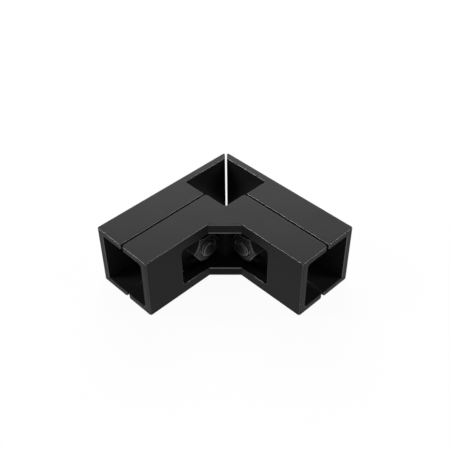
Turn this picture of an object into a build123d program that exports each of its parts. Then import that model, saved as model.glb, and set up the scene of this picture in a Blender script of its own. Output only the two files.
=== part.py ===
from build123d import *
import os
from math import sqrt

# Three way corner connector for square tube: two horizontal arms at right angles and an
# upright socket where they meet. Three cast shells close round the tubes, and a screw
# and a nut across each arm clamp them. Millimetres, +Z up. The origin is on the upright
# socket's axis at the bottom face, and the arms lie along +X (left) and +Y (right).

# ---- The tube and its sockets ----
tube = 25.0              # outside width of the square tube
tube_clearance = 0.2     # gap on each side of a tube before the screws are tightened
reach = 61.4             # upright socket's axis to the open end of each arm

# ---- Castings ----
wall = 3.5               # upright walls
flange_root = 2.8        # top and bottom flanges where they leave a wall
flange_edge = 2.6        # the same flanges at the slit, thinner by their draft
arm_slit = 0.8           # gap along the middle of each arm, between the shells
corner_slit = 0.9        # gap between the two outer shells at the back corner
corner_chamfer = 10.2    # leg of the chamfer across the inside corner
edge_round = 0.4         # rounding of the castings' outer edges
end_round = 1.0          # upright edges at the arms' open ends
tip_round = 0.6          # the outer shells' flange corners, and their tips at the corner slit
flange_corner = 1.8      # the inner shell's flange corners beside the slit
root_fillet = 1.5        # inside corners of the inner shell
outer_root_fillet = 0.5  # inside corners of the outer shells, nearly sharp
lead_in = 0.25           # chamfer inside the mouth of each arm
upright_relief = 0.5     # the outer shells' cross walls stand this clear of the upright tube

# ---- Window over the nuts ----
window_sill = 5.0        # height of the sill under it
window_lintel = 5.5      # and of the lintel over it
window_past_nut = 16.5   # each screw's axis to the window's end
window_corner = 2.0      # rounding of the window's end corners
web = 3.0                # web behind each nut
web_fillet = 1.0         # where the web meets the flanges

# ---- Screws and nuts, M8 ----
screw = 8.0              # thread diameter
screw_clearance = 0.5    # gap round the shank in its holes
screw_chamfer = 0.7      # at the end of the thread
head = 13.0              # diameter of the low head
head_height = 5.0
head_round = 0.6
hex_key = 5.0            # across the flats of the key socket
key_depth = 2.8
nut = 13.0               # across the flats of the nut
nut_height = 6.5
nut_chamfer = 0.3        # its 30 degree chamfers start this far inside the flats
nut_countersink = 0.5    # at both ends of its bore
nut_room = 1.8           # between a nut's corner and the upright socket's wall
thread_gap = 0.1         # the threads are plain here: the nut's bore clears the screw
thread_proud = 1.4       # screw standing out of its nut
nut_sink = 1.6           # nut's face below the casting's outer face
head_sink = 1.2          # screw's head below the casting's outer face
head_clearance = 0.7     # gap round the head in its counterbore
counterbore_floor = 3.0
counterbore_wall = 2.4
pad_height = 0.6         # raised seat for the nut on its web
pad_margin = 0.5         # how far it reaches past the nut's corners
lock_bar = 2.2           # thickness of the bars that stop the nut from turning
lock_bar_length = 11.0
lock_bar_height = 2.6    # how far they stand out of the web
lock_clearance = 0.15    # between a bar and the nut's flat

# ---- Worked out from the above ----
socket = tube + 2 * tube_clearance
inner = socket / 2                       # a socket's axis to its walls' inner faces
outer = inner + wall                     # and to their outer faces
height = socket + 2 * flange_root
middle = height / 2
slit_edge = arm_slit / 2
cross_wall = inner + upright_relief      # the outer shells' cross walls, towards the upright tube
corner_step = corner_slit / sqrt(2)      # the corner slit's half, measured along a wall
past = reach + wall                      # for cuts that run out of an open end

nut_corner = nut / sqrt(3)               # a nut's axis to its corners
nut_face = nut / 2 - nut_chamfer         # radius left flat on each face of the nut
pad = nut_corner + pad_margin
screw_at = outer + nut_room + nut_corner
nut_front = outer - nut_sink
nut_seat = nut_front - nut_height
web_face = nut_seat - pad_height
web_back = web_face - web
screw_end = nut_front + thread_proud
screw_hole = screw / 2 + screw_clearance
head_top = -outer + head_sink
head_seat = head_top + head_height
counterbore = head / 2 + head_clearance
housing = counterbore + counterbore_wall
housing_end = head_seat + counterbore_floor
tube_stop = screw_at + housing + tube_clearance
window_end = screw_at + window_past_nut
window_height = height - window_sill - window_lintel

chamfer_line = 2 * outer + corner_chamfer   # X + Y on the chamfer's face
touch = 0.01                             # an edge this near a face counts as on it

screw_axis = Axis((screw_at, 0, middle), (0, 1, 0))
mirror_plane = Plane(origin=(0, 0, 0), x_dir=(0, 0, 1), z_dir=(1, -1, 0))
mitre_plane = Plane(origin=(corner_step, 0, 0), x_dir=(0, 0, 1), z_dir=(1, -1, 0))


def across(y):
    """The plane across the left arm's screw at this Y, facing +Y, with its own X along Z."""
    return Plane(origin=(screw_at, y, middle), x_dir=(0, 0, 1), z_dir=(0, 1, 0))


def round_corner(sketch, x, y, radius):
    """Round the corner of the sketch that lies nearest to this point."""
    fillet(sketch.vertices().sort_by_distance((x, y))[0], radius)


def bore_section(side):
    """The corners of half an arm's bore, for the shell on this side of the slit, -1 or 1."""
    return [
        (side * inner, flange_root), (side * slit_edge, flange_edge), (-side * wall, flange_edge),
        (-side * wall, height - flange_edge), (side * slit_edge, height - flange_edge),
        (side * inner, height - flange_root),
    ]


def in_mouth(edge):
    """True for an edge where an arm's bore meets its end face."""
    return all(
        max(v.X, v.Y) > reach - touch
        and min(abs(v.X), abs(v.Y)) < inner + touch
        and flange_edge - touch < v.Z < height - flange_edge + touch
        for v in edge.vertices()
    )


def round_the_window(edge):
    """True for an edge of the window in the arms' front faces or in their chamfer."""
    return all(
        min(v.X, v.Y) > outer - touch
        and v.X + v.Y > chamfer_line - touch
        and window_sill - touch < v.Z < height - window_lintel + touch
        for v in edge.vertices()
    )


# ---- Left outer shell: the back half of the arm along +X and one wall of the corner ----
with BuildPart() as left_outer_shell:
    with BuildSketch() as outer_plan:
        with BuildLine():
            Polyline(
                (-outer, -outer), (reach, -outer), (reach, -slit_edge),
                (cross_wall, -slit_edge), (cross_wall, -inner), (-inner, -inner), close=True,
            )
        make_face()
        round_corner(outer_plan, reach, -outer, end_round)
        round_corner(outer_plan, reach, -slit_edge, tip_round)
        round_corner(outer_plan, cross_wall, -slit_edge, tip_round)
        round_corner(outer_plan, cross_wall, -inner, outer_root_fillet)
    extrude(amount=height)
    split(bisect_by=mitre_plane, keep=Keep.TOP)
    fillet(left_outer_shell.edges().filter_by(Axis.Z).sort_by(Axis.X)[0], tip_round)
    fillet(left_outer_shell.faces().filter_by(Axis.Z).edges(), edge_round)
    # The arm's half of the tube socket, open at its end and along the slit.
    with BuildSketch(Plane.YZ.offset(outer)) as outer_bore:
        with BuildLine():
            Polyline(bore_section(-1), close=True)
        make_face()
        fillet(outer_bore.vertices().group_by(Axis.X)[0], outer_root_fillet)
    extrude(amount=past - outer, mode=Mode.SUBTRACT)
    chamfer(left_outer_shell.edges().filter_by(in_mouth), lead_in)
    # The housing that takes the screw's head below the outer face.
    with BuildSketch(across(-inner)):
        Circle(housing)
    extrude(amount=housing_end + inner)
    with Locations(Plane(origin=(screw_at, -outer, middle), z_dir=(0, -1, 0))):
        CounterBoreHole(screw_hole, counterbore, head_seat + outer)
left_outer_shell.part.label = "left_outer_shell"

# ---- Right outer shell: its mirror image, for the arm along +Y ----
with BuildPart() as right_outer_shell:
    mirror(left_outer_shell.part, about=mirror_plane)
right_outer_shell.part.label = "right_outer_shell"

# ---- What is cut from the inner shell and added in it, for the left arm ----
with BuildPart() as arm_bore:
    with BuildSketch(Plane.YZ.offset(outer)) as inner_bore:
        with BuildLine():
            Polyline(bore_section(1), close=True)
        make_face()
        fillet(inner_bore.vertices().group_by(Axis.X)[-1], root_fillet)
    extrude(amount=past - outer)

with BuildPart() as window_half:
    with BuildSketch(Plane.XZ.offset(wall - inner)) as window_face:
        with Locations((outer, window_sill)):
            Rectangle(window_end - outer, window_height, align=(Align.MIN, Align.MIN))
        fillet(window_face.vertices().group_by(Axis.X)[-1], window_corner)
    extrude(amount=-(3 * wall + corner_chamfer))

with BuildPart() as nut_web:
    with BuildSketch(Plane.XY.offset(flange_edge / 2)):
        with Locations((outer - wall / 2, web_back)):
            Rectangle(tube_stop - outer + wall / 2, web, align=(Align.MIN, Align.MIN))
    extrude(amount=height - flange_edge)
    with BuildSketch(across(web_face)):
        Circle(pad)
    extrude(amount=pad_height)
    with BuildSketch(across(web_face)):
        with GridLocations(nut + lock_bar + 2 * lock_clearance, 0, 2, 1):
            Rectangle(lock_bar, lock_bar_length)
    extrude(amount=lock_bar_height)
    with Locations(across(nut_seat)):
        Hole(screw_hole)

# ---- Inner shell: the front halves of both arms and the window over the nuts ----
with BuildPart() as inner_shell:
    with BuildSketch() as inner_plan:
        with BuildLine():
            Polyline(
                (inner, slit_edge), (reach, slit_edge), (reach, outer),
                (outer + corner_chamfer, outer), (outer, outer + corner_chamfer),
                (outer, reach), (slit_edge, reach), (slit_edge, inner), (inner, inner),
                close=True,
            )
        make_face()
        round_corner(inner_plan, inner, inner, root_fillet)
        for x, y, radius in (
            (inner, slit_edge, flange_corner), (reach, slit_edge, flange_corner),
            (reach, outer, end_round),
        ):
            round_corner(inner_plan, x, y, radius)
            round_corner(inner_plan, y, x, radius)
    extrude(amount=height)
    fillet(inner_shell.faces().filter_by(Axis.Z).edges(), edge_round)
    add(arm_bore.part, mode=Mode.SUBTRACT)
    mirror(arm_bore.part, about=mirror_plane, mode=Mode.SUBTRACT)
    add(window_half.part, mode=Mode.SUBTRACT)
    mirror(window_half.part, about=mirror_plane, mode=Mode.SUBTRACT)
    chamfer(inner_shell.edges().filter_by(in_mouth), lead_in)
    fillet(inner_shell.edges().filter_by(round_the_window), edge_round)
    add(nut_web.part)
    mirror(nut_web.part, about=mirror_plane)
    for along, through in ((Axis.X, Axis.Y), (Axis.Y, Axis.X)):
        web_lines = inner_shell.edges().filter_by(along)
        web_lines = web_lines.filter_by_position(through, web_face - touch, web_face + touch)
        web_ends = web_lines.group_by(Axis.Z)
        fillet(web_ends[0] + web_ends[-1], web_fillet)
inner_shell.part.label = "inner_shell"

# ---- Left clamp screw: a low head with a key socket, its thread left plain ----
with BuildPart() as left_clamp_screw:
    with BuildSketch(across(head_top)):
        Circle(head / 2)
    extrude(amount=head_height)
    fillet(left_clamp_screw.faces().sort_by(Axis.Y)[0].edges(), head_round)
    with BuildSketch(across(head_seat)):
        Circle(screw / 2)
    extrude(amount=screw_end - head_seat)
    chamfer(left_clamp_screw.faces().sort_by(Axis.Y)[-1].edges(), screw_chamfer)
    with BuildSketch(across(head_top)):
        RegularPolygon(hex_key / 2, 6, major_radius=False)
    extrude(amount=key_depth, mode=Mode.SUBTRACT)
left_clamp_screw.part.label = "left_clamp_screw"

# ---- Left clamp nut: its corners point along the arm, its flats lie against the bars ----
with BuildPart() as left_clamp_nut:
    with BuildSketch(across(nut_seat)):
        RegularPolygon(nut / 2, 6, major_radius=False, rotation=90)
    extrude(amount=nut_height)
    with BuildSketch(Plane.XY.offset(middle)):
        with BuildLine():
            Polyline(
                (screw_at, nut_seat), (screw_at + nut_face, nut_seat),
                (screw_at + nut_face + nut_height * sqrt(3) / 2, nut_seat + nut_height / 2),
                (screw_at + nut_face, nut_front), (screw_at, nut_front), close=True,
            )
        make_face()
    revolve(axis=screw_axis, mode=Mode.INTERSECT)
    with Locations(across(nut_front)):
        Hole(screw / 2 + thread_gap)
    nut_circles = left_clamp_nut.edges().filter_by(GeomType.CIRCLE)
    chamfer(nut_circles.sort_by(SortBy.RADIUS)[:2], nut_countersink)
left_clamp_nut.part.label = "left_clamp_nut"

# ---- Right clamp screw and nut: the same pair across the arm along +Y ----
with BuildPart() as right_clamp_screw:
    mirror(left_clamp_screw.part, about=mirror_plane)
right_clamp_screw.part.label = "right_clamp_screw"

with BuildPart() as right_clamp_nut:
    mirror(left_clamp_nut.part, about=mirror_plane)
right_clamp_nut.part.label = "right_clamp_nut"

os.makedirs("parts", exist_ok=True)
export_step(left_outer_shell.part, "parts/left_outer_shell.step")
export_step(right_outer_shell.part, "parts/right_outer_shell.step")
export_step(inner_shell.part, "parts/inner_shell.step")
export_step(left_clamp_screw.part, "parts/left_clamp_screw.step")
export_step(right_clamp_screw.part, "parts/right_clamp_screw.step")
export_step(left_clamp_nut.part, "parts/left_clamp_nut.step")
export_step(right_clamp_nut.part, "parts/right_clamp_nut.step")
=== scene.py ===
# %% [markdown]
# # A three way corner connector for square tube
#
# The real part joins three 25 mm square tubes at a corner. It is three black zinc die
# castings: an inner shell with a window, and two outer shells that close round the tubes
# and leave an upright socket where the two arms meet. Two screws and two hex nuts pull the
# shells together. The castings and the nuts are good enough in the CAD model to keep their
# CAD meshes here. This lesson is about what that model leaves out: the thread of the
# screws, the powder coat of the castings, the black oxide of the steel, and the light.

# %% Load the fixed frame
import math

import bmesh
import bpy
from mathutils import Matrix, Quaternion, Vector


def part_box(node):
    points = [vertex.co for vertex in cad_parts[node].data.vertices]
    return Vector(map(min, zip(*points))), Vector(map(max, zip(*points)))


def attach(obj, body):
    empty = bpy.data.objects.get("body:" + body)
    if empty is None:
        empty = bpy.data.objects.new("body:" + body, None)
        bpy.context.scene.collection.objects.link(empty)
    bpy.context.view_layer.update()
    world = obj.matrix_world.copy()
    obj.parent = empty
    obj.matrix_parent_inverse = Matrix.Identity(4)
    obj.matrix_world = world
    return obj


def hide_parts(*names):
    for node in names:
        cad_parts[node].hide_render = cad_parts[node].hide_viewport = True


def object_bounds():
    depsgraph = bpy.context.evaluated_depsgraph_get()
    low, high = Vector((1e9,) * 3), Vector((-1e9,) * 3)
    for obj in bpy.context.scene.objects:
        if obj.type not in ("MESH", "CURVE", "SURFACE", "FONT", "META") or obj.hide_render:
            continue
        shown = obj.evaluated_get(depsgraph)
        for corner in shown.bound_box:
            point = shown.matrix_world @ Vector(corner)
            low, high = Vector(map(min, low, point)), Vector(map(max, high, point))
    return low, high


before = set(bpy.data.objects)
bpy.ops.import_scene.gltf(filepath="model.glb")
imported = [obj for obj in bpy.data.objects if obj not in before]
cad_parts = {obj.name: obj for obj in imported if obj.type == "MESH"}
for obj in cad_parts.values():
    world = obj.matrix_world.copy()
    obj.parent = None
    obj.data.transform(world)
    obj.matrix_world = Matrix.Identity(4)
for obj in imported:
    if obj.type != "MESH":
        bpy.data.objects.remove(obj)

MM = 0.001
cad_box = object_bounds()
bpy.ops.object.select_all(action="DESELECT")
print("CAD nodes:", ", ".join(sorted(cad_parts)))
print("overall size in mm:", [round((high - low) / MM, 2) for low, high in zip(*cad_box)])

# %% [markdown]
# ## The camera
#
# The camera looks down on the inside corner from between the two arms. It could be placed
# by hand in the viewport, but an azimuth, an elevation and a distance from the point that
# it aims at are easier to reason about, and they are how a photographer would describe the
# shot. The point is on the middle plane of the castings, just inside the upright socket. A
# lens of 60 mm on a 36 mm sensor, a third of a metre away, gives the slight perspective of
# a small product shot, and a turn of under a degree levels the two arms.

# %% Place the camera
VIEW_AZIMUTH = 136.16
VIEW_ELEVATION = 41.47
VIEW_DISTANCE = 343.8 * MM
VIEW_ROLL = -0.81
LENS = 59.78
SENSOR_WIDTH = 36
middle_height = (cad_box[0][2] + cad_box[1][2]) / 2
aim = Vector((9.35 * MM, 9.0 * MM, middle_height))


def direction(azimuth, elevation):
    """The unit vector towards this direction: azimuth 0 is -Y, 90 is +X and 180 is +Y."""
    turn, rise = math.radians(azimuth), math.radians(elevation)
    flat = math.cos(rise)
    return Vector((math.sin(turn) * flat, -math.cos(turn) * flat, math.sin(rise)))


to_camera = direction(VIEW_AZIMUTH, VIEW_ELEVATION)
bpy.ops.object.camera_add(location=aim + VIEW_DISTANCE * to_camera)
camera = bpy.context.object
camera.name = "camera"
camera.rotation_mode = "QUATERNION"
roll = Quaternion((0, 0, 1), math.radians(VIEW_ROLL))
camera.rotation_quaternion = (-to_camera).to_track_quat("-Z", "Y") @ roll
camera.data.lens = LENS
camera.data.sensor_width = SENSOR_WIDTH
camera.data.clip_start = 1 * MM
bpy.context.scene.camera = camera
print("camera at, in mm:", [round(x / MM, 1) for x in camera.location])

# %% [markdown]
# ## Materials, and the floor as the first of them
#
# Every finish below starts in the same way: an output, a Principled BSDF, and a link from
# one to the other. One helper makes them, and each material then adds its own nodes. Many
# of those are Math nodes, so a second helper adds one and connects both of its inputs.
#
# The floor is a plain pale plane. The camera looks down so steeply that the floor fills the
# picture, so the floor's colour is the background. A lamp strong enough to make a floor
# pure white would wash out the black castings, so the white comes from the floor itself: to
# the camera, and to gloss or clear parts that show the floor, most of it is a flat emission
# of strength one. The rest stays an ordinary diffuse floor, which keeps a soft shadow, and
# all other light meets a diffuse floor only.

# %% Start a material
def new_material(name):
    """A material with a Principled BSDF on its output. Returns it, its tree and the shader."""
    material = bpy.data.materials.new(name)
    material.use_nodes = True
    tree = material.node_tree
    tree.nodes.clear()
    output = tree.nodes.new("ShaderNodeOutputMaterial")
    shader = tree.nodes.new("ShaderNodeBsdfPrincipled")
    tree.links.new(shader.outputs["BSDF"], output.inputs["Surface"])
    return material, tree, shader


def paint(piece, material):
    """Make this the only material of a piece."""
    piece.data.materials.clear()
    piece.data.materials.append(material)


# %% Add a Math node
def math_node(tree, operation, first, second, clamp=False):
    """A Math node with a socket or a number on each of its two inputs. Returns its output."""
    node = tree.nodes.new("ShaderNodeMath")
    node.operation = operation
    node.use_clamp = clamp
    for socket, value in zip(node.inputs, (first, second)):
        if isinstance(value, (int, float)):
            socket.default_value = value
        else:
            tree.links.new(value, socket)
    return node.outputs[0]


# %% Lay the floor
FLOOR_SIZE = 6.0
FLOOR_WHITE = (0.9, 0.9, 0.9, 1)
WHITE_SHARE = 0.95
bpy.ops.mesh.primitive_plane_add(size=FLOOR_SIZE, location=(0, 0, cad_box[0][2]))
floor = bpy.context.object
floor.name = "floor"

floor_paint, tree, shader = new_material("floor_paint")
shader.inputs["Base Color"].default_value = FLOOR_WHITE
shader.inputs["Roughness"].default_value = 0.9
shader.inputs["Specular IOR Level"].default_value = 0.0
glow = tree.nodes.new("ShaderNodeEmission")
path = tree.nodes.new("ShaderNodeLightPath")
seen = math_node(tree, "MAXIMUM", path.outputs["Is Camera Ray"], path.outputs["Is Glossy Ray"])
seen_or_through = math_node(tree, "MAXIMUM", seen, path.outputs["Is Transmission Ray"])
share = math_node(tree, "MULTIPLY", seen_or_through, WHITE_SHARE)
mix = tree.nodes.new("ShaderNodeMixShader")
tree.links.new(share, mix.inputs[0])
tree.links.new(shader.outputs["BSDF"], mix.inputs[1])
tree.links.new(glow.outputs["Emission"], mix.inputs[2])
output = next(node for node in tree.nodes if node.type == "OUTPUT_MATERIAL")
tree.links.new(mix.outputs["Shader"], output.inputs["Surface"])
paint(floor, floor_paint)
print("floor:", FLOOR_SIZE, "m square,", round(WHITE_SHARE * 100), "% white to the camera")

# %% [markdown]
# ## The light
#
# Black satin paint shows its form almost only by what it mirrors. Four softboxes do the
# work. The large one behind the object stands where the flat tops mirror it towards the
# camera, so they turn a soft grey while the front walls, which mirror the floor, stay dark.
# One softbox on each side lies where the long rounded edges mirror it, and draws the thin
# bright line along them. They are tall strips that lean, because the mirror image of a
# lamp runs aslant as it climbs a rounded edge. The left one is the stronger. A weak, low
# softbox in front and a dim even world fill the rest, so that nothing is lost in black.

# %% Hang the softboxes
SOFTBOX_DISTANCE = 1.0
lit_centre = Vector((20 * MM, 20 * MM, middle_height))


def softbox(name, azimuth, elevation, size, radiance, lean=0):
    """A rectangular lamp that faces the object. Its power follows from its radiance."""
    away = direction(azimuth, elevation)
    bpy.ops.object.light_add(type="AREA", location=lit_centre + SOFTBOX_DISTANCE * away)
    lamp = bpy.context.object
    lamp.name = name
    lamp.rotation_mode = "QUATERNION"
    leaning = Quaternion((0, 0, 1), math.radians(lean))
    lamp.rotation_quaternion = (-away).to_track_quat("-Z", "Y") @ leaning
    lamp.data.shape = "RECTANGLE"
    lamp.data.size, lamp.data.size_y = size
    lamp.data.energy = radiance * math.pi * size[0] * size[1]
    spread = size[0] * size[1] / SOFTBOX_DISTANCE ** 2
    added = radiance * spread * math.sin(math.radians(elevation)) / math.pi
    print(name, "power", round(lamp.data.energy, 1), "W, adds", round(added, 2), "to a flat top")


softbox("back_softbox", VIEW_AZIMUTH + 180, 36, (0.9, 0.5), 7.0)
softbox("left_softbox", VIEW_AZIMUTH - 92, 38, (0.2, 0.6), 14.0, lean=-33)
softbox("right_softbox", VIEW_AZIMUTH + 88, 38, (0.2, 0.6), 8.5, lean=33)
softbox("front_softbox", VIEW_AZIMUTH, 14, (0.7, 0.25), 2.0)

# %% Fill with an even world
WORLD_LEVEL = 0.15
world = bpy.data.worlds.new("studio")
bpy.context.scene.world = world
world.use_nodes = True
sky = world.node_tree
sky.nodes.clear()
sky_output = sky.nodes.new("ShaderNodeOutputWorld")
background = sky.nodes.new("ShaderNodeBackground")
background.inputs["Strength"].default_value = WORLD_LEVEL
sky.links.new(background.outputs["Background"], sky_output.inputs["Surface"])
print("even world, adds", WORLD_LEVEL, "to every side")

# %% [markdown]
# ## Two effects that the finishes share
#
# The castings and the steel fasteners have different finishes, but both need the same two
# effects, so each effect is a shader node group, built once. A group holds only the
# pattern. It hands out a mask or a number, and the material decides what it means.
#
# `edge_wear_and_highlight` finds the outside edges. A coat is thinnest there and gets
# polished by handling, so edges are paler; the paler edge colour is also partly a painted
# highlight, the bright line that light draws along a rounded edge. The mesh could be painted
# by hand, but the Ambient Occlusion node can find them by itself. With Inside on, it looks
# into the metal: in a thick flat wall it meets nothing near by, and beside an outside edge
# it soon meets the next face.
#
# `fine_skin` is the small unevenness of a finish: a fine grain, and slow soft patches. Both
# come from Noise textures on Object coordinates, so the grain has its real size in
# millimetres and stays where it is when the object moves.

# %% Start a node group
def new_group(name, inputs, outputs):
    """A node group with these named float or vector sockets. Returns its tree and two ends."""
    tree = bpy.data.node_groups.new(name, "ShaderNodeTree")
    for socket, kind, value in inputs:
        made = tree.interface.new_socket(socket, in_out="INPUT", socket_type=kind)
        if value is not None:
            made.default_value = value
    for socket, kind in outputs:
        tree.interface.new_socket(socket, in_out="OUTPUT", socket_type=kind)
    return tree, tree.nodes.new("NodeGroupInput"), tree.nodes.new("NodeGroupOutput")


# %% The edge_wear_and_highlight group
FLOAT, VECTOR = "NodeSocketFloat", "NodeSocketVector"
# A mask of the outside edges: the finishes paint a paler colour on it, partly worn coat and partly a
# painted highlight.
edge_wear_and_highlight, start, end = new_group(
    "edge_wear_and_highlight",
    [
        ("Width", FLOAT, 1.0 * MM), ("Nearly flat", FLOAT, 0.1), ("Gain", FLOAT, 5.0),
        ("Patchiness", FLOAT, 0.3), ("Patches", FLOAT, 0.5),
    ],
    [("Mask", FLOAT)],
)
inward = edge_wear_and_highlight.nodes.new("ShaderNodeAmbientOcclusion")
inward.inside = True
inward.only_local = True
inward.samples = 12
edge_wear_and_highlight.links.new(start.outputs["Width"], inward.inputs["Distance"])
near = math_node(edge_wear_and_highlight, "SUBTRACT", 1.0, inward.outputs["AO"])
nearer = math_node(edge_wear_and_highlight, "SUBTRACT", near, start.outputs["Nearly flat"], clamp=True)
found = math_node(edge_wear_and_highlight, "MULTIPLY", nearer, start.outputs["Gain"], clamp=True)
patch_loss = math_node(edge_wear_and_highlight, "MULTIPLY", start.outputs["Patches"], start.outputs["Patchiness"])
kept = math_node(edge_wear_and_highlight, "SUBTRACT", 1.0, patch_loss, clamp=True)
mask = math_node(edge_wear_and_highlight, "MULTIPLY", found, kept, clamp=True)
edge_wear_and_highlight.links.new(mask, end.inputs["Mask"])
print("edge_wear_and_highlight:", len(edge_wear_and_highlight.nodes), "nodes")

# %% The fine_skin group
fine_skin, start, end = new_group(
    "fine_skin",
    [("Position", VECTOR, None), ("Grain per metre", FLOAT, 2000.0), ("Patches per metre", FLOAT, 60.0)],
    [("Grain", FLOAT), ("Patches", FLOAT)],
)
for label, detail in (("Grain", 2.0), ("Patches", 3.0)):
    noise = fine_skin.nodes.new("ShaderNodeTexNoise")
    noise.inputs["Detail"].default_value = detail
    fine_skin.links.new(start.outputs["Position"], noise.inputs["Vector"])
    fine_skin.links.new(start.outputs[f"{label} per metre"], noise.inputs["Scale"])
    fine_skin.links.new(noise.outputs["Fac"], end.inputs[label])
print("groups:", ", ".join(group.name for group in (edge_wear_and_highlight, fine_skin)))

# %% [markdown]
# ## One recipe for both finishes
#
# A finish is then a few numbers: how dark the flats are, how pale the edges, how rough the
# skin and how deep its grain. What is the same all over, such as the specular level, is set
# on the shader's own socket. What varies goes to Base Color, Roughness and a Bump node.

# %% Build a finish
def blend_colours(tree, factor, dark, pale):
    """A colour that goes from dark to pale as the factor goes from 0 to 1."""
    node = tree.nodes.new("ShaderNodeMix")
    node.data_type = "RGBA"
    tree.links.new(factor, node.inputs["Factor"])
    for name, colour in (("A", dark), ("B", pale)):
        socket = next(s for s in node.inputs if s.name == name and s.type == "RGBA")
        if isinstance(colour, tuple):
            socket.default_value = (*colour, 1)
        else:
            tree.links.new(colour, socket)
    return next(s for s in node.outputs if s.type == "RGBA")


NOISE_LOW, NOISE_HIGH = 0.3, 0.7


def from_range(tree, value, low, high):
    """A value that goes from low to high as the noise goes over its usual range."""
    node = tree.nodes.new("ShaderNodeMapRange")
    tree.links.new(value, node.inputs["Value"])
    node.inputs["From Min"].default_value = NOISE_LOW
    node.inputs["From Max"].default_value = NOISE_HIGH
    node.inputs["To Min"].default_value = low
    node.inputs["To Max"].default_value = high
    return node.outputs["Result"]


def new_finish(name, flats, edges, wear_and_highlight_settings, skin, roughness, grain_depth):
    """A coated or blackened metal. Returns the material, its tree, shader and edge mask."""
    material, tree, shader = new_material(name)
    place = tree.nodes.new("ShaderNodeTexCoord")
    texture = tree.nodes.new("ShaderNodeGroup")
    texture.node_tree = fine_skin
    tree.links.new(place.outputs["Object"], texture.inputs["Position"])
    for socket, value in zip(("Grain per metre", "Patches per metre"), skin):
        texture.inputs[socket].default_value = value
    edge = tree.nodes.new("ShaderNodeGroup")
    edge.node_tree = edge_wear_and_highlight
    tree.links.new(texture.outputs["Patches"], edge.inputs["Patches"])
    for socket, value in zip(("Width", "Nearly flat", "Gain", "Patchiness"), wear_and_highlight_settings):
        edge.inputs[socket].default_value = value
    patch = from_range(tree, texture.outputs["Patches"], 0.0, 1.0)
    flat_colour = blend_colours(tree, patch, *flats)
    # Paler base colour on the edge mask: partly wear, partly a painted highlight.
    colour = blend_colours(tree, edge.outputs["Mask"], flat_colour, edges)
    tree.links.new(colour, shader.inputs["Base Color"])
    rough = from_range(tree, texture.outputs["Patches"], *roughness)
    tree.links.new(rough, shader.inputs["Roughness"])
    bump = tree.nodes.new("ShaderNodeBump")
    bump.inputs["Strength"].default_value = 1.0
    bump.inputs["Distance"].default_value = grain_depth
    tree.links.new(texture.outputs["Grain"], bump.inputs["Height"])
    tree.links.new(bump.outputs["Normal"], shader.inputs["Normal"])
    return material, tree, shader, edge.outputs["Mask"]


# %% [markdown]
# ## The powder coat on the castings
#
# Zinc castings of this kind are shot blasted and powder coated black. The coat is a satin:
# dark, with a broad soft sheen, and it levels to a very fine orange peel about half a
# millimetre across. It could be a plain dark colour with some gloss, but the paler line
# that every outside edge shows and the slow change of sheen across the flats are what make
# it read as a coated casting.
#
# The line on the edges is gloss, and partly a painted highlight: the base colour is paler
# on the edge mask. Powder flows thin and smooth round an edge, and hands polish it further.
# So the shader's clear coat comes in there and nowhere else: the coat's weight is the edge
# mask times a second mask, which is 0 on flat faces that are square to the axes and 1 half
# way round an edge. The chamfered face also counts as half way, so over its middle it is
# the edge mask alone that keeps the coat off.

# %% Coat the castings
casting_paint, tree, shader, wear_and_highlight_mask = new_finish(
    "casting_paint",
    flats=((0.0115, 0.0115, 0.0118), (0.0145, 0.0145, 0.0148)),
    # edges: the pale edge colour, partly thin worn coat and partly a painted highlight
    edges=(0.017, 0.017, 0.0172),
    wear_and_highlight_settings=(1.0 * MM, 0.08, 20.0, 0.3),
    skin=(1900.0, 70.0),
    roughness=(0.36, 0.42),
    grain_depth=0.008 * MM,
)
shader.inputs["Specular IOR Level"].default_value = 0.06
shader.inputs["Coat Roughness"].default_value = 0.18
shader.inputs["Coat IOR"].default_value = 1.9
print("casting_paint:", len(tree.nodes), "nodes before the polish")

# %% Polish only the rounded edges
def turned_from_axes(tree):
    """0 on faces square to X, Y or Z, rising to 1 where a rounded edge faces half way."""
    place = tree.nodes.new("ShaderNodeTexCoord")
    square = tree.nodes.new("ShaderNodeVectorMath")
    square.operation = "MULTIPLY"
    tree.links.new(place.outputs["Normal"], square.inputs[0])
    tree.links.new(place.outputs["Normal"], square.inputs[1])
    split = tree.nodes.new("ShaderNodeSeparateXYZ")
    tree.links.new(square.outputs["Vector"], split.inputs["Vector"])
    shifted = tree.nodes.new("ShaderNodeCombineXYZ")
    for source, target in (("X", "Y"), ("Y", "Z"), ("Z", "X")):
        tree.links.new(split.outputs[source], shifted.inputs[target])
    pairs = tree.nodes.new("ShaderNodeVectorMath")
    pairs.operation = "DOT_PRODUCT"
    tree.links.new(square.outputs["Vector"], pairs.inputs[0])
    tree.links.new(shifted.outputs["Vector"], pairs.inputs[1])
    return math_node(tree, "MULTIPLY", pairs.outputs["Value"], 4.0, clamp=True)


polished = math_node(tree, "MULTIPLY", wear_and_highlight_mask, turned_from_axes(tree), clamp=True)
tree.links.new(polished, shader.inputs["Coat Weight"])
for name in ("inner_shell", "left_outer_shell", "right_outer_shell"):
    paint(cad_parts[name], casting_paint)
    print(name, "in", casting_paint.name)

# %% [markdown]
# ## The black steel of the screws and nuts
#
# Screws and nuts of this kind are blackened steel, lightly oiled. The oxide is so thin that
# the metal still shines through it: a dark metal, with more gloss than the paint. Its edges
# are much paler: partly where a spanner or the thread has burnished it, and partly a painted
# highlight for the glints on the nuts' chamfers and the thread's crests.

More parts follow.
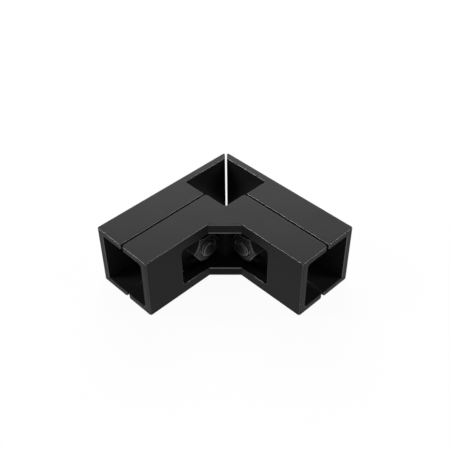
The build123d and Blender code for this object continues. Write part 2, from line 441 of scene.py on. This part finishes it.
# %% Blacken the steel
black_steel, _, shader, _ = new_finish(
    "black_steel",
    flats=((0.009, 0.009, 0.0095), (0.014, 0.014, 0.0145)),
    # edges: the pale edge colour, partly burnished steel and partly painted glints
    edges=(0.12, 0.12, 0.12),
    wear_and_highlight_settings=(0.6 * MM, 0.02, 8.0, 0.4),
    skin=(5000.0, 400.0),
    roughness=(0.28, 0.38),
    grain_depth=0.003 * MM,
)
shader.inputs["Metallic"].default_value = 0.5
shader.inputs["Specular IOR Level"].default_value = 0.2
for name in ("left_clamp_nut", "right_clamp_nut"):
    paint(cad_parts[name], black_steel)
    print(name, "in", black_steel.name)

# %% [markdown]
# ## The clamp screws
#
# Each screw is an M8 low head socket screw. Its head sits in the outer shell and its
# threaded end stands out of the nut, in the window. A thread could be faked with a bump,
# but its crests catch the light in the window, so it is real here.
#
# A thread is one small profile swept along a helix. The Screw modifier does just that, with
# a screw offset of one pitch for each turn. The profile is drawn as by hand: one point,
# extruded along the root, up the flank, along the crest and down the other flank. Its last
# point is one pitch above the first, so each turn welds to the next. Bisect then trims both
# ends flat and fills them.

# %% Read the screw's place from the frame
screw_low, screw_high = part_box("left_clamp_screw")
screw_length = screw_high[1] - screw_low[1]
screw_at = (screw_low[0] + screw_high[0]) / 2
HEAD_RADIUS = (screw_high[0] - screw_low[0]) / 2
HEAD_HEIGHT = 5.0 * MM
SHANK_RADIUS = 4.0 * MM
print("screw length", round(screw_length / MM, 2), "mm, head radius", round(HEAD_RADIUS / MM, 2), "mm")

# %% Draw one pitch of the thread
PITCH = 1.25 * MM
CREST_PLAY = 0.03 * MM
DEPTH_IN_PITCHES = 0.61
CREST_RADIUS = SHANK_RADIUS - CREST_PLAY
ROOT_RADIUS = CREST_RADIUS - DEPTH_IN_PITCHES * PITCH
ROOT_FLAT = PITCH / 4
CREST_FLAT = PITCH / 8
flank = (PITCH - ROOT_FLAT - CREST_FLAT) / 2
thread_depth = CREST_RADIUS - ROOT_RADIUS
bpy.ops.mesh.primitive_plane_add(size=PITCH)
thread = bpy.context.object
thread.name = "thread"
bpy.ops.object.mode_set(mode="EDIT")
bpy.ops.mesh.merge(type="CENTER")
bpy.ops.transform.translate(value=(ROOT_RADIUS, 0, 0))
for out, up in ((0, ROOT_FLAT), (thread_depth, flank), (0, CREST_FLAT), (-thread_depth, flank)):
    bpy.ops.mesh.extrude_vertices_move(TRANSFORM_OT_translate={"value": (out, 0, up)})
bpy.ops.object.mode_set(mode="OBJECT")
print("thread profile:", len(thread.data.vertices), "points, depth", round(thread_depth / MM, 3), "mm")

# %% Sweep it along its helix
STEPS_A_TURN = 64
WELD_DISTANCE = 0.001 * MM
turns = math.ceil(screw_length / PITCH) + 2
sweep = thread.modifiers.new("helix", "SCREW")
sweep.axis = "Z"
sweep.angle = math.tau
sweep.screw_offset = PITCH
sweep.iterations = turns
sweep.steps = sweep.render_steps = STEPS_A_TURN
sweep.use_merge_vertices = False
bpy.ops.object.modifier_apply(modifier=sweep.name)
bpy.ops.object.mode_set(mode="EDIT")
bpy.ops.mesh.select_all(action="SELECT")
bpy.ops.mesh.remove_doubles(threshold=WELD_DISTANCE)
bpy.ops.mesh.normals_make_consistent(inside=False)
bpy.ops.object.mode_set(mode="OBJECT")
print("swept thread:", turns, "turns,", len(thread.data.polygons), "faces")

# %% Pick a piece and settle it
def work_on(piece):
    """Make this the active piece, and the only one that is selected."""
    bpy.ops.object.select_all(action="DESELECT")
    bpy.context.view_layer.objects.active = piece
    piece.select_set(True)


def settle():
    """Put the selected piece's place, turn and scale into its mesh."""
    bpy.ops.object.transform_apply(location=True, rotation=True, scale=True)


# %% Trim it flat at both ends
CUT_PRECISION = 0.0001 * MM


def trim(piece, height, keep_above):
    """Cut a piece flat across at this height, drop one side and close the cut."""
    work_on(piece)
    bpy.ops.object.mode_set(mode="EDIT")
    bpy.ops.mesh.select_all(action="SELECT")
    bpy.ops.mesh.bisect(
        plane_co=(0, 0, height), plane_no=(0, 0, 1), use_fill=True, threshold=CUT_PRECISION,
        clear_inner=keep_above, clear_outer=not keep_above,
    )
    bpy.ops.object.mode_set(mode="OBJECT")


def open_edges(piece):
    """How many edges of the mesh don't join exactly two faces."""
    mesh = bmesh.new()
    mesh.from_mesh(piece.data)
    count = sum(not edge.is_manifold for edge in mesh.edges)
    mesh.free()
    return count


NECK = 1.2 * PITCH
shank_length = screw_length - HEAD_HEIGHT
step_height = PITCH / STEPS_A_TURN
thread_start = 2 * PITCH + step_height / 2
thread_length = math.floor((shank_length - NECK) / PITCH * STEPS_A_TURN) * step_height
trim(thread, thread_start, keep_above=True)
print("after the first cut:", open_edges(thread), "open edges")
trim(thread, thread_start + thread_length, keep_above=False)
print("trimmed thread:", round(thread.dimensions.z / MM, 2), "mm,", open_edges(thread), "open edges")
thread.location.z = NECK - thread_start
settle()

# %% [markdown]
# The end of a real screw has a chamfer that the thread runs out into. A blank with that
# chamfer is turned first, as on a lathe: a cylinder whose end edge is bevelled. Boolean
# Intersect then keeps only the thread that lies inside it.

# %% Start a turned piece and select its ends
UP, DOWN = 1, -1
NEARLY_STRAIGHT = 0.9


def add_cylinder(sides, radius, depth, middle):
    """A cylinder along Z, its middle at this height, left in edit mode."""
    bpy.ops.mesh.primitive_cylinder_add(
        vertices=sides, radius=radius, depth=depth, location=(0, 0, middle)
    )
    settle()
    bpy.ops.object.mode_set(mode="EDIT")
    return bpy.context.object


def select_end(piece, way):
    """In edit mode, select only the faces that face UP or DOWN."""
    bpy.ops.mesh.select_mode(type="FACE")
    bpy.ops.mesh.select_all(action="DESELECT")
    bpy.ops.object.mode_set(mode="OBJECT")
    for face in piece.data.polygons:
        face.select = way * face.normal.z > NEARLY_STRAIGHT
    bpy.ops.object.mode_set(mode="EDIT")


# %% Run the thread out in a chamfered end
TIP_CHAMFER = 0.9 * MM
ROUND_STEPS = 96


def combine(piece, tool, operation):
    """Apply an exact Boolean to a piece and delete the tool."""
    work_on(piece)
    step = piece.modifiers.new("boolean", "BOOLEAN")
    step.solver = "EXACT"
    step.operation = operation
    step.object = tool
    bpy.ops.object.modifier_apply(modifier=step.name)
    bpy.data.objects.remove(tool)


blank = add_cylinder(ROUND_STEPS, SHANK_RADIUS, shank_length, middle=shank_length / 2)
select_end(blank, UP)
bpy.ops.mesh.bevel(offset=TIP_CHAMFER, segments=1, affect="EDGES")
bpy.ops.object.mode_set(mode="OBJECT")
combine(thread, blank, "INTERSECT")
print("after the chamfer:", open_edges(thread), "open edges")

# %% [markdown]
# The head is another turned piece: a cylinder, with its outer edge rounded by a bevel of
# several segments. The six sided socket is cut by a Boolean with a six sided cylinder that
# ends in the point of a drill, and a short plain neck joins the head to the thread, which
# never runs right up to a head.

# %% Turn the head and cut its socket
HEAD_ROUNDING = 0.6 * MM
HEX_ACROSS_FLATS = 5.0 * MM
HEX_DEPTH = 2.8 * MM
NECK_OVER_ROOT = 0.2 * MM
NECK_OVERLAP = 0.1 * MM
DRILL_POINT = 0.6 * MM
DRILL_TAPER = 0.15
head = add_cylinder(ROUND_STEPS, HEAD_RADIUS, HEAD_HEIGHT, middle=-HEAD_HEIGHT / 2)
select_end(head, DOWN)
bpy.ops.mesh.bevel(offset=HEAD_ROUNDING, segments=4, affect="EDGES")
select_end(head, UP)
bpy.ops.mesh.inset(thickness=HEAD_RADIUS - ROOT_RADIUS - NECK_OVER_ROOT)
bpy.ops.mesh.extrude_region_move(TRANSFORM_OT_translate={"value": (0, 0, NECK + NECK_OVERLAP)})
bpy.ops.object.mode_set(mode="OBJECT")
hex_corner = HEX_ACROSS_FLATS / math.sqrt(3)
key = add_cylinder(6, hex_corner, 2 * HEX_DEPTH, middle=-HEAD_HEIGHT)
select_end(key, UP)
bpy.ops.mesh.extrude_region_move(TRANSFORM_OT_translate={"value": (0, 0, DRILL_POINT)})
bpy.ops.transform.resize(value=(DRILL_TAPER, DRILL_TAPER, 1))
bpy.ops.object.mode_set(mode="OBJECT")
combine(head, key, "DIFFERENCE")
combine(thread, head, "UNION")
print("whole screw:", len(thread.data.polygons), "faces,", open_edges(thread), "open edges")

# %% [markdown]
# Both screws are the same right handed screw, so the second is a copy with its own mesh,
# turned and not mirrored. The left one points along Y and the right one along X.

# %% Place both screws
SMOOTH_ANGLE = math.radians(28)
work_on(thread)
bpy.ops.object.shade_smooth_by_angle(angle=SMOOTH_ANGLE)
bpy.ops.object.duplicate(linked=False)
second_screw = bpy.context.object
seat = screw_low[1] + HEAD_HEIGHT
places = (
    (thread, "left", (-math.pi / 2, 0, 0), (screw_at, seat, middle_height)),
    (second_screw, "right", (0, math.pi / 2, 0), (seat, screw_at, middle_height)),
)
for screw, side, turn, place in places:
    work_on(screw)
    screw.name = f"{side}_threaded_screw"
    screw.data.name = screw.name
    screw.rotation_euler = turn
    screw.location = place
    settle()
    paint(screw, black_steel)
    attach(screw, "root")
    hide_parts(f"{side}_clamp_screw")
    print(screw.name, "faces", len(screw.data.polygons))

# %% [markdown]
# ## The last settings
#
# The view transform is Standard, so a colour on the screen is the colour in the scene.

# %% Finish
bpy.context.scene.view_settings.view_transform = "Standard"
